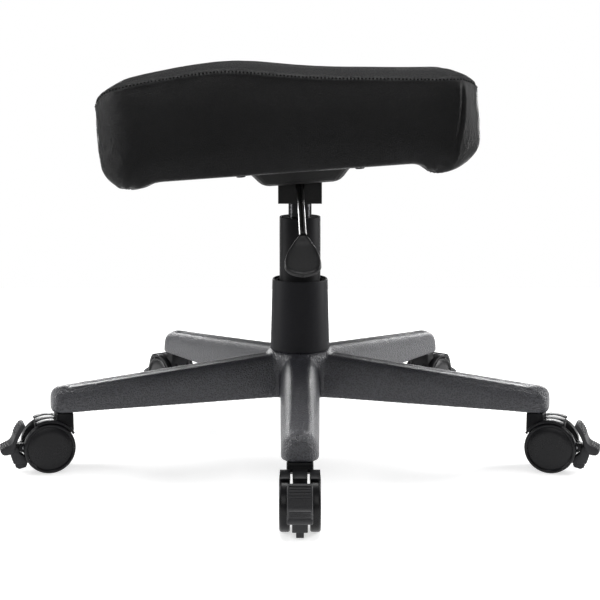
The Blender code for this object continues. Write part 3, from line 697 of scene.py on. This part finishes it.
def gather(points, x, depth, drop, inner, outer, spread_y, pleats):
    """Pull the vinyl down under one pair of corners. The fold ends sharply towards the seat's middle."""
    low = np.clip(1.0 - (points[:, 2] - COVER_UNDERSIDE) / 0.030, 0.0, 1.0)
    for side in (-1, 1):
        dx = points[:, 0] - x
        dx = dx / np.where(dx * math.copysign(1.0, x) > 0.0, outer, inner)
        dy = (points[:, 1] - side * depth) / spread_y
        hold = np.exp(-(np.abs(dx) ** 3.0 + np.abs(dy) ** 3.0)) * low
        ripple = 1.0 + 0.22 * np.sin(pleats * np.arctan2(dy, dx + 0.35))
        points[:, 2] -= drop * hold * ripple
    return points


spots = gather(spots, -0.182, 0.146, drop=0.0058, inner=0.0185, outer=0.028, spread_y=0.030, pleats=7.0)
spots = gather(spots, 0.151, 0.146, drop=0.0110, inner=0.017, outer=0.034, spread_y=0.030, pleats=8.0)

# %% [markdown]
# The vinyl is turned in under the board and stapled, and a dust cloth covers the middle. So the underside
# steps up where the cloth lies. The cushion is one closed form: it stands for both the cover and the foam.

# %% Step the underside and place the cushion
open_x = np.abs(spots[:, 0] - (SEAT_LEFT + SEAT_RIGHT) / 2) < (SEAT_RIGHT - SEAT_LEFT) / 2 - 0.083
open_y = np.abs(spots[:, 1]) < 0.1165
under = (facing[:, 2] < -0.8) & (spots[:, 2] < 0.008) & open_x & open_y
spots[under, 2] = 0.0006
move_points(cushion_mesh, spots)
cushion_faces = [tuple(face.vertices) for face in cushion_mesh.polygons]
cushion_tree = BVHTree.FromPolygons([tuple(spot) for spot in spots], cushion_faces)
cushion = add_piece(
    "vinyl_cushion", moved(cushion_mesh, seat_place), "seat", seat_vinyl,
    ("seat_cover", "seat_foam"), smooth_deg=60.0,
)
print("cushion:", len(cushion_mesh.polygons), "faces")

# %% [markdown]
# ## Stitches
# A lockstitch shows as a row of short, plump threads that dive into the vinyl at both ends. Each stitch is a
# small spindle laid along the seam and sunk by half its thickness. The seam line's points are dropped onto
# the finished cushion first, so every stitch follows its dips.

# %% Sew the seams
SPINDLE_SIDES = 6
SPINDLE_RINGS = (           # share of the length, thickness and lift, the last two as shares of the radius
    (0.0, 0.35, -0.9),
    (0.25, 0.9, 0.0),
    (0.5, 1.0, 0.35),
    (0.75, 0.9, 0.0),
    (1.0, 0.35, -0.9),
)
SPINDLE_FACES = SPINDLE_SIDES * (len(SPINDLE_RINGS) - 1) + 2


def spindle(bm, start, end, out, radius):
    run = end - start
    side = run.cross(out).normalized()
    turns = [2 * math.pi * step / SPINDLE_SIDES for step in range(SPINDLE_SIDES)]
    rings = []
    for share, swell, lift in SPINDLE_RINGS:
        middle = start + run * share + out * radius * lift
        ways = [side * math.cos(turn) + out * math.sin(turn) for turn in turns]
        rings.append([bm.verts.new(middle + way * radius * swell) for way in ways])
    for ring, following in zip(rings, rings[1:]):
        for index in range(SPINDLE_SIDES):
            after = (index + 1) % SPINDLE_SIDES
            bm.faces.new((ring[index], ring[after], following[after], following[index]))
    bm.faces.new(reversed(rings[0]))
    bm.faces.new(rings[-1])


def stitched(line, offset, pitch, thread_length, radius):
    bm = bmesh.new()
    stride = round(pitch / SEAM_STEP)
    places = line[::stride] + np.array(offset)
    following = line[1::stride] + np.array(offset)
    for place, after in zip(places, following):
        spot, out, _, _ = cushion_tree.find_nearest(Vector(place))
        run = (Vector(after) - Vector(place)).normalized()
        run = (run - out * run.dot(out)).normalized()
        spindle(bm, spot - run * thread_length / 2, spot + run * thread_length / 2, out, radius)
    bmesh.ops.recalc_face_normals(bm, faces=bm.faces)
    return mesh_from(bm, "stitches")


top_stitches = stitched(top_seam, (0.0, 0.0, -0.0014), pitch=0.004, thread_length=0.0027, radius=0.0010)
add_piece("top_stitching", moved(top_stitches, seat_place), "seat", stitch_thread)
print("stitches along the top seam:", len(top_stitches.polygons) // SPINDLE_FACES)

# %% [markdown]
# ## The star base
# The base is a single injection moulding: a hub with five hollow arms, rounded into each other with generous
# fillets. Joining the arms to the hub leaves hard creases, so the joined solid is remeshed into small even
# voxels and smoothed. That melts the creases into fillets, as the mould's own radii do. Each arm has two
# soft shoulders along its top and ends in a dome over the caster's socket.

# %% Build the moulded base
hub_low, hub_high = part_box("star_base")
arm_bottom, hub_top = hub_low.z, hub_high.z
pivot_front = centre("caster_stem_front")
stem_circle = column_y - pivot_front.y
arm_tip = stem_circle + 0.0145
HUB_RADIUS = 0.0395
ARM_HALF = (0.0240, 0.0198)
ARM_TOP = (0.1235, 0.0985)
arm_angle = [math.radians(270 + 72 * index) for index in range(5)]


def arm_ring(reach, inset=0.0, sides=28):
    share = (reach - HUB_RADIUS) / (arm_tip - HUB_RADIUS)
    half = ARM_HALF[0] + (ARM_HALF[1] - ARM_HALF[0]) * share
    top = ARM_TOP[0] + (ARM_TOP[1] - ARM_TOP[0]) * share
    rounding = min(1.0, max(0.0, (reach - (arm_tip - ARM_HALF[1])) / ARM_HALF[1]))
    fullness = math.sqrt(max(0.0, 1.0 - rounding ** 3))
    half = half * (0.30 + 0.70 * fullness) - inset
    height = (top - arm_bottom) * (0.62 + 0.38 * fullness) - 1.9 * inset
    valley = 0.0 if inset else 0.0026 * min(1.0, max(0.0, (arm_tip - 0.004 - reach) / 0.020))
    start = arm_bottom - (0.002 if inset else 0.0)
    ring = []
    for step in range(sides + 1):
        turn = math.pi * step / sides
        side = math.copysign(abs(math.cos(turn)) ** 0.62, math.cos(turn))
        dip = valley * math.exp(-(side / 0.34) ** 2)
        ring.append((reach, half * side, arm_bottom + height * math.sin(turn) ** 0.72 - dip))
    ring[0] = (reach, half, start)
    ring[-1] = (reach, -half, start)
    return ring


def spread(start, end, count):
    return [start + (end - start) * step / (count - 1) for step in range(count)]


def base_moulding():
    tip_start = arm_tip - ARM_HALF[1]
    tip_run = [tip_start + ARM_HALF[1] * math.sin(math.pi / 2 * step / 10) for step in range(1, 11)]
    reaches = spread(0.018, tip_start, 16) + tip_run
    hub = turned([
        (0.0, hub_top), (HUB_RADIUS - 0.004, hub_top), (HUB_RADIUS, hub_top - 0.003),
        (HUB_RADIUS + 0.003, arm_bottom + 0.03), (HUB_RADIUS + 0.004, arm_bottom), (0.0, arm_bottom),
    ], 72, "hub")
    boss = [
        (0.0, 0.1002), (0.0050, 0.0999), (0.0088, 0.0988), (0.0110, 0.0965), (0.0118, 0.0930), (0.0, 0.0930),
    ]
    arms = []
    cuts = []
    for angle in arm_angle:
        turn = Matrix.Rotation(angle, 4, "Z")
        arms.append(moved(loft([arm_ring(reach) for reach in reaches], "arm"), turn))
        arms.append(moved(turned(boss, 40, "boss"), turn @ Matrix.Translation((stem_circle - 0.002, 0, 0))))
        for start, end in ((0.050, 0.118), (0.122, 0.194), (0.198, 0.270)):
            pocket = loft([arm_ring(reach, 0.0040, 16) for reach in spread(start, end, 2)], "pocket")
            cuts.append(moved(pocket, turn))
        socket = turned([(0.0, 0.0905), (0.0062, 0.0905), (0.0062, 0.060), (0.0, 0.060)], 24, "socket")
        cuts.append(moved(socket, turn @ Matrix.Translation((stem_circle, 0, 0))))
    bore = turned([(0.0, 0.130), (0.0258, 0.130), (0.0246, 0.060), (0.0, 0.060)], 48, "bore")
    solid = boolean(hub, arms, "UNION", "base_solid")
    hollow = boolean(solid, cuts + [bore], "DIFFERENCE", "base_hollow")
    return modified(hollow, "base_moulding", [
        ("REMESH", {"mode": "VOXEL", "voxel_size": 0.0021}),
        ("SMOOTH", {"factor": 0.6, "iterations": 7}),
    ])


base_mesh = moved(base_moulding(), Matrix.Translation((0.0, column_y, 0.0)))
add_piece("base_moulding", base_mesh, "base", base_nylon, ("star_base",), smooth_deg=75.0)
print("base:", len(base_mesh.polygons), "faces")

# %% [markdown]
# ## The column
# The gas column, its covers and the cylinder are all turned shapes. The CAD pieces use few sides, so finer
# ones stand for them here, with the small rounded lips that catch the light at each step of the column.

# %% Turn the column's visible pieces
def at_column(profile, name):
    return moved(turned(profile, 96, name), Matrix.Translation((0.0, column_y, 0.0)))


tube_foot, tube_top = (corner.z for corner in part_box("gas_column_tube"))
tube = at_column([
    (0.0225, tube_top - 0.0004), (0.0229, tube_top), (0.0244, tube_top), (0.0248, tube_top - 0.0003),
    (0.0250, tube_top - 0.0009), (0.0250, 0.1283), (0.0237, tube_foot), (0.0058, tube_foot),
    (0.0058, tube_foot + 0.0028), (0.0205, tube_foot + 0.0028), (0.0225, 0.1283),
], "column_tube")
add_piece("column_tube", tube, "base", tube_paint, ("gas_column_tube",))

sleeve_foot, sleeve_top = (corner.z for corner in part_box("outer_cover_sleeve"))
outer = at_column([
    (0.0320, sleeve_top - 0.0005), (0.0324, sleeve_top), (0.0330, sleeve_top), (0.0336, sleeve_top - 0.0006),
    (0.0339, sleeve_top - 0.0018), (0.03625, sleeve_foot + 0.0030), (0.0366, sleeve_foot + 0.0012),
    (0.0364, sleeve_foot), (0.0342, sleeve_foot),
], "outer_sleeve")
add_piece("outer_sleeve", outer, "base", cover_plastic, ("outer_cover_sleeve",))

inner_foot, inner_top = (corner.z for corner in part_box("inner_cover_sleeve"))
inner = at_column([
    (0.0274, inner_top), (0.0308, inner_top), (0.0314, inner_top - 0.0006), (0.0316, inner_top - 0.0014),
    (0.0316, inner_top - 0.0054), (0.0310, inner_foot), (0.0290, inner_foot),
], "inner_sleeve")
add_piece("inner_sleeve", inner, "base", cover_plastic, ("inner_cover_sleeve",))

rod_foot, rod_top = (corner.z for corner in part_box("lift_cylinder"))
cylinder = at_column([
    (0.0, rod_top - 0.0140), (0.0041, rod_top - 0.0140), (0.0041, rod_top), (0.0128, rod_top),
    (0.0133, rod_top - 0.0006), (0.0140, rod_top - 0.0110), (0.0140, rod_foot + 0.0008),
    (0.0133, rod_foot), (0.0054, rod_foot), (0.0054, rod_top - 0.0195), (0.0, rod_top - 0.0195),
], "gas_cylinder")
add_piece("gas_cylinder", cylinder, "seat", cylinder_chrome, ("lift_cylinder",))

# %% [markdown]
# ## The height lever
# A bent steel rod ends in a flat paddle shaped like a plectrum, with a thick rounded lip along its lower edge
# for a finger to pull up. Rings from the neck downwards make it. Each ring is a flattened oval as wide as the
# outline is there, and every point near the lower outline swells forwards into the lip.

# %% Shape the paddle
PADDLE_LENGTH = 0.0455
PADDLE_LEAN = math.radians(-24.0)
NECK_HALF = 0.0050
WIDEST_HALF = 0.0202
WIDEST = 0.73              # where the paddle is widest, as a share of its length
LIP_START = 0.60


def paddle_half(share):
    if share < WIDEST:
        return NECK_HALF + (WIDEST_HALF - NECK_HALF) * math.sin(math.pi / 2 * share / WIDEST) ** 0.9
    return WIDEST_HALF * math.sqrt(max(0.0, 1.0 - ((share - WIDEST) / (1.0 - WIDEST)) ** 2.2))


lower_shares = [LIP_START + (1.0 - LIP_START) * step / 100 for step in range(101)]
lower_edge = np.array([
    (side * paddle_half(share), -PADDLE_LENGTH * share) for share in lower_shares for side in (-1, 1)
])


def paddle_ring(share):
    thick = 0.0025 + 0.0022 * math.exp(-(share / 0.12) ** 2)
    low = min(1.0, max(0.0, (share - LIP_START) / 0.15))
    ring = []
    for step in range(48):
        turn = 2 * math.pi * step / 48
        side = math.copysign(abs(math.cos(turn)) ** 0.80, math.cos(turn))
        front = math.copysign(abs(math.sin(turn)) ** 0.60, math.sin(turn))
        x, z = max(0.0008, paddle_half(share)) * side, -PADDLE_LENGTH * share
        gap = np.hypot(lower_edge[:, 0] - x, lower_edge[:, 1] - z).min()
        swell = (0.0020 if front < 0 else 0.0004) * low * math.exp(-((gap - 0.0020) / 0.0018) ** 2)
        taper = min(1.0, 0.35 + gap / 0.0020) if low else 1.0
        ring.append((x, (thick * taper + swell) * front, z))
    return ring


paddle_shares = [math.sin(math.pi / 2 * step / 60) ** 0.9 for step in range(61)]
paddle_mesh = loft([paddle_ring(share) for share in paddle_shares], "paddle")
rod_low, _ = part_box("lever_rod")
neck = Vector((centre("lever_paddle").x, rod_low.y + 0.0016, rod_low.z + 0.0016))
paddle_place = Matrix.Translation(neck) @ Matrix.Rotation(PADDLE_LEAN, 4, "X")
add_piece(
    "lever_paddle_moulding", moved(paddle_mesh, paddle_place), "lever", paddle_nylon,
    ("lever_paddle",),
)
print("paddle:", len(paddle_mesh.polygons), "faces")

# %% [markdown]
# ## The casters
# Each caster is built once around its wheel axle, with X outwards, Y along the axle and Z up, and then shown
# five times. The hood is a short fender over both wheels, joined to a middle web and a collar for the stem.
# The wheels are turned, with a rounded tread, a shallow ring and a hub cap. The brake pedal is a rocker with
# a ribbed tread above, and a claw with a narrow tongue below.

# %% Build one caster's hood and wheel
WHEEL_RADIUS = 0.030
TRAIL = 0.0195
BRAKE_PIVOT = 0.029
WEB_HALF = 0.0075
WELL_RADIUS = 0.0308
FENDER_RADIUS = 0.0336
FENDER_ARC = (64, 150)
STEM_HOLE = 0.0058
AXLE_HOLE = 0.0043
PIN_HOLE = 0.0023
WHEEL_GAP = 0.0103          # from the caster's middle to each wheel's inner face


def arc(radius, start, end, steps, middle=(0.0, 0.0)):
    turns = [math.radians(start + (end - start) * step / steps) for step in range(steps + 1)]
    return [(middle[0] + radius * math.cos(turn), middle[1] + radius * math.sin(turn)) for turn in turns]


def drilled(radius, half, middle=(0.0, 0.0), sides=32):
    return plate(arc(radius, 0, 360 - 360 / sides, sides - 1, middle), half)


def hood_mesh():
    first, last = FENDER_ARC
    fender = plate(arc(FENDER_RADIUS, first, last, 40) + arc(WELL_RADIUS, last, first, 40), 0.0208)
    web = plate(arc(0.0240, 60, 300, 36) + arc(0.0055, -90, 90, 10, (BRAKE_PIVOT, 0.0)), WEB_HALF)
    bridge = plate(arc(0.0320, first - 2, last, 24) + [(-0.0180, 0.0), (0.0120, 0.0)], WEB_HALF - 0.0003)
    collar_top = arm_bottom - 0.0003 - WHEEL_RADIUS
    collar = block((-TRAIL - 0.0100, -0.0140, 0.0150), (-TRAIL + 0.0100, 0.0140, collar_top))
    collar = eased(collar, 0.0030, segments=3)
    wells = []
    for side in (-1, 1):
        wells.append(moved(drilled(WELL_RADIUS, 0.010, sides=64), Matrix.Translation((0, side * 0.0178, 0))))
    collar = boolean(collar, wells, "DIFFERENCE")
    body = boolean(web, [bridge, fender, collar], "UNION")
    stem_hole = turned([(0.0, 0.05), (STEM_HOLE, 0.05), (STEM_HOLE, 0.012), (0.0, 0.012)], 24)
    stem_hole = moved(stem_hole, Matrix.Translation((-TRAIL, 0, 0)))
    pin_hole = drilled(PIN_HOLE, 0.03, (BRAKE_PIVOT, 0.0), 20)
    slot = block((0.0215, -0.0040, -0.0120), (0.0400, 0.0040, 0.0120))
    holes = [stem_hole, drilled(AXLE_HOLE, 0.03), pin_hole, slot]
    for side in (-1, 1):
        inner, outer = sorted((side * (WEB_HALF + 0.0001), side * 0.0101))
        holes.append(block((-0.0600, inner, -0.0400), (0.0600, outer, 0.0245)))
        holes.append(block((-TRAIL + 0.0101, inner, 0.0), (0.0600, outer, 0.0400)))
    return eased(boolean(body, holes, "DIFFERENCE"), 0.0005)


def wheel_mesh():
    width = 0.011
    return turned([
        (0.0, width - 0.0006), (0.0085, width - 0.0007), (0.0178, width - 0.0009), (0.0243, width - 0.0013),
        (0.0250, width - 0.0017), (0.0256, width - 0.0018), (0.0262, width - 0.0012), (0.0267, width - 0.0003),
        (0.0274, width), (0.0284, width - 0.0002), (0.0293, width - 0.0009), (0.0298, width - 0.0018),
        (0.0300, width - 0.0030), (0.0300, 0.0026), (0.0297, 0.0012), (0.0290, 0.0004), (0.0280, 0.0),
        (AXLE_HOLE, 0.0), (AXLE_HOLE, width - 0.0035), (0.0, width - 0.0035),
    ], 96, "wheel")


def pedal_mesh():
    """Drawn about its pin. The tread is wide, and the claw, tongue and lug are narrower."""

    def about_pin(points):
        return [(x - BRAKE_PIVOT, z) for x, z in points]

    top = [
        (0.0270, 0.0290), (0.0292, 0.0293), (0.0314, 0.0287), (0.0346, 0.0251), (0.0375, 0.0206),
        (0.0395, 0.0152), (0.0412, 0.0105), (0.0430, 0.0079), (0.0455, 0.0060), (0.0500, 0.0038),
        (0.0545, 0.0018), (0.0559, 0.0008), (0.0563, -0.0010),
    ]
    under = [
        (0.0556, -0.0030), (0.0542, -0.0048), (0.0520, -0.0060), (0.0485, -0.0062), (0.0450, -0.0055),
        (0.0424, -0.0042), (0.0405, -0.0020), (0.0388, 0.0025), (0.0372, 0.0075), (0.0350, 0.0126),
        (0.0325, 0.0172), (0.0302, 0.0215), (0.0280, 0.0250), (0.0268, 0.0270),
    ]
    claw = [
        (0.0385, 0.0030), (0.0448, -0.0045), (0.0428, -0.0130), (0.0412, -0.0185), (0.0238, -0.0185),
        (0.0260, -0.0135), (0.0295, -0.0095), (0.0335, -0.0065), (0.0350, 0.0005),
    ]
    tongue = [
        (0.0400, -0.0120), (0.0385, -0.0240), (0.0345, -0.0262),
        (0.0270, -0.0245), (0.0250, -0.0210), (0.0280, -0.0120),
    ]
    lug = arc(0.0048, 90, 270, 14, (BRAKE_PIVOT, 0.0)) + [(0.0385, -0.0048), (0.0395, 0.0048)]
    tread = eased(plate(about_pin(top + under), 0.0130), 0.0016, 50.0, 3)
    upper_ribs = [(0.0322, 0.0278), (0.0341, 0.0257), (0.0358, 0.0232), (0.0374, 0.0207), (0.0386, 0.0178)]
    toe_ribs = [(0.0548, 0.0014), (0.0525, 0.0026), (0.0500, 0.0038), (0.0474, 0.0051)]
    ribs = [plate(arc(0.0009, 0, 330, 11, place), 0.0108) for place in about_pin(upper_ribs + toe_ribs)]
    others = [eased(plate(about_pin(claw), 0.0080), 0.0010), eased(plate(about_pin(tongue), 0.0040), 0.0008)]
    others += [plate(about_pin(lug), 0.0037)] + ribs
    return boolean(boolean(tread, others, "UNION"), [drilled(PIN_HOLE, 0.03, sides=20)], "DIFFERENCE")


hood = hood_mesh()
wheel = wheel_mesh()
pedal = pedal_mesh()
print("caster faces:", len(hood.polygons), len(wheel.polygons), len(pedal.polygons))

# %% [markdown]
# The five casters share these meshes, so a change to one changes all. Each is placed from its own CAD
# pieces: the stem gives the swivel axis, and the arm's direction gives the way the wheels trail.

# %% Place the casters
for arm, angle in zip(ARMS, arm_angle):
    stem = centre(f"caster_stem_{arm}")
    swivel = Matrix.Translation((stem.x, stem.y, WHEEL_RADIUS)) @ Matrix.Rotation(angle, 4, "Z")
    axle = swivel @ Matrix.Translation((TRAIL, 0, 0))
    pin = axle @ Matrix.Translation((BRAKE_PIVOT, 0, 0))
    add_piece(f"hood_{arm}", hood, f"caster_{arm}", hood_nylon, (f"caster_body_{arm}",), axle)
    add_piece(
        f"pedal_tread_{arm}", pedal, f"pedal_{arm}", pedal_nylon, (f"brake_pedal_{arm}",), pin
    )
    for side, way in (("a", 1), ("b", -1)):
        turn = axle @ Matrix.Translation((0, way * WHEEL_GAP, 0)) @ Matrix.Rotation(-way * math.pi / 2, 4, "X")
        node = f"wheel_{arm}_{side}"
        add_piece(f"tyre_{arm}_{side}", wheel, node, wheel_nylon, (node,), turn)

# %% [markdown]
# ## Floor, light and camera
# A pale floor under soft light keeps the attention on dark materials. Softboxes overhead and low behind draw
# the highlights along the arms, two at the sides light the seat's ends, and a dim one in front fills the
# shadows. Black plastic mostly shows reflections, so the room stays dim behind a white background.

# %% Set the studio
floor_mesh = block((-0.75, -0.62, -0.02), (0.75, 1.2, 0.0))
floor = bpy.data.objects.new("floor", floor_mesh)
scene.collection.objects.link(floor)
pale = Finish("pale_floor", (0.70, 0.70, 0.70), 0.8)
pale.set(**{"Emission Color": (1.0, 1.0, 1.0, 1.0), "Emission Strength": 0.60})
floor_mesh.materials.append(pale.material)


def softbox(name, place, target, size, power):
    light = bpy.data.lights.new(name, "AREA")
    light.shape = "RECTANGLE"
    light.size, light.size_y = size
    light.energy = power
    lamp = bpy.data.objects.new(name, light)
    lamp.location = place
    lamp.rotation_euler = (Vector(target) - Vector(place)).to_track_quat("-Z", "Y").to_euler()
    scene.collection.objects.link(lamp)


softbox("top_softbox", (0.0, 0.15, 2.0), (0.0, 0.0, 0.2), (1.1, 0.8), 32.0)
softbox("rear_left_softbox", (-0.70, 1.7, 0.40), (0.0, 0.0, 0.1), (0.5, 0.4), 8.0)
softbox("rear_right_softbox", (0.70, 1.7, 0.40), (0.0, 0.0, 0.1), (0.5, 0.4), 8.0)
softbox("front_softbox", (0.0, -2.3, 1.2), (0.0, 0.0, 0.25), (2.2, 1.2), 17.0)
softbox("left_softbox", (-1.9, 0.3, 0.8), (0.0, 0.0, 0.3), (0.6, 1.2), 29.0)
softbox("right_softbox", (1.9, 0.5, 0.8), (0.0, 0.0, 0.3), (0.6, 1.2), 38.0)
world = bpy.data.worlds.new("studio")
scene.world = world
world.use_nodes = True
sky = world.node_tree
room = sky.nodes["Background"]
room.inputs["Color"].default_value = (1.0, 1.0, 1.0, 1.0)
room.inputs["Strength"].default_value = 0.12
white = sky.nodes.new("ShaderNodeBackground")
white.inputs["Color"].default_value = (1.0, 1.0, 1.0, 1.0)
white.inputs["Strength"].default_value = 1.0
path = sky.nodes.new("ShaderNodeLightPath")
chosen = sky.nodes.new("ShaderNodeMixShader")
sky.links.new(path.outputs["Is Camera Ray"], chosen.inputs[0])
sky.links.new(room.outputs[0], chosen.inputs[1])
sky.links.new(white.outputs[0], chosen.inputs[2])
sky.links.new(chosen.outputs[0], sky.nodes["World Output"].inputs["Surface"])
scene.view_settings.view_transform = "Standard"

# %% Place the camera and finish
lens = bpy.data.cameras.new("camera")
lens.lens = 84.0
lens.sensor_width = 36.0
lens.clip_start = 0.05
camera = bpy.data.objects.new("camera", lens)
camera.location = (0.0, column_y - 1.692, 0.487)
camera.rotation_euler = (math.radians(90.0 - 10.1), 0.0, 0.0)
scene.collection.objects.link(camera)
scene.camera = camera
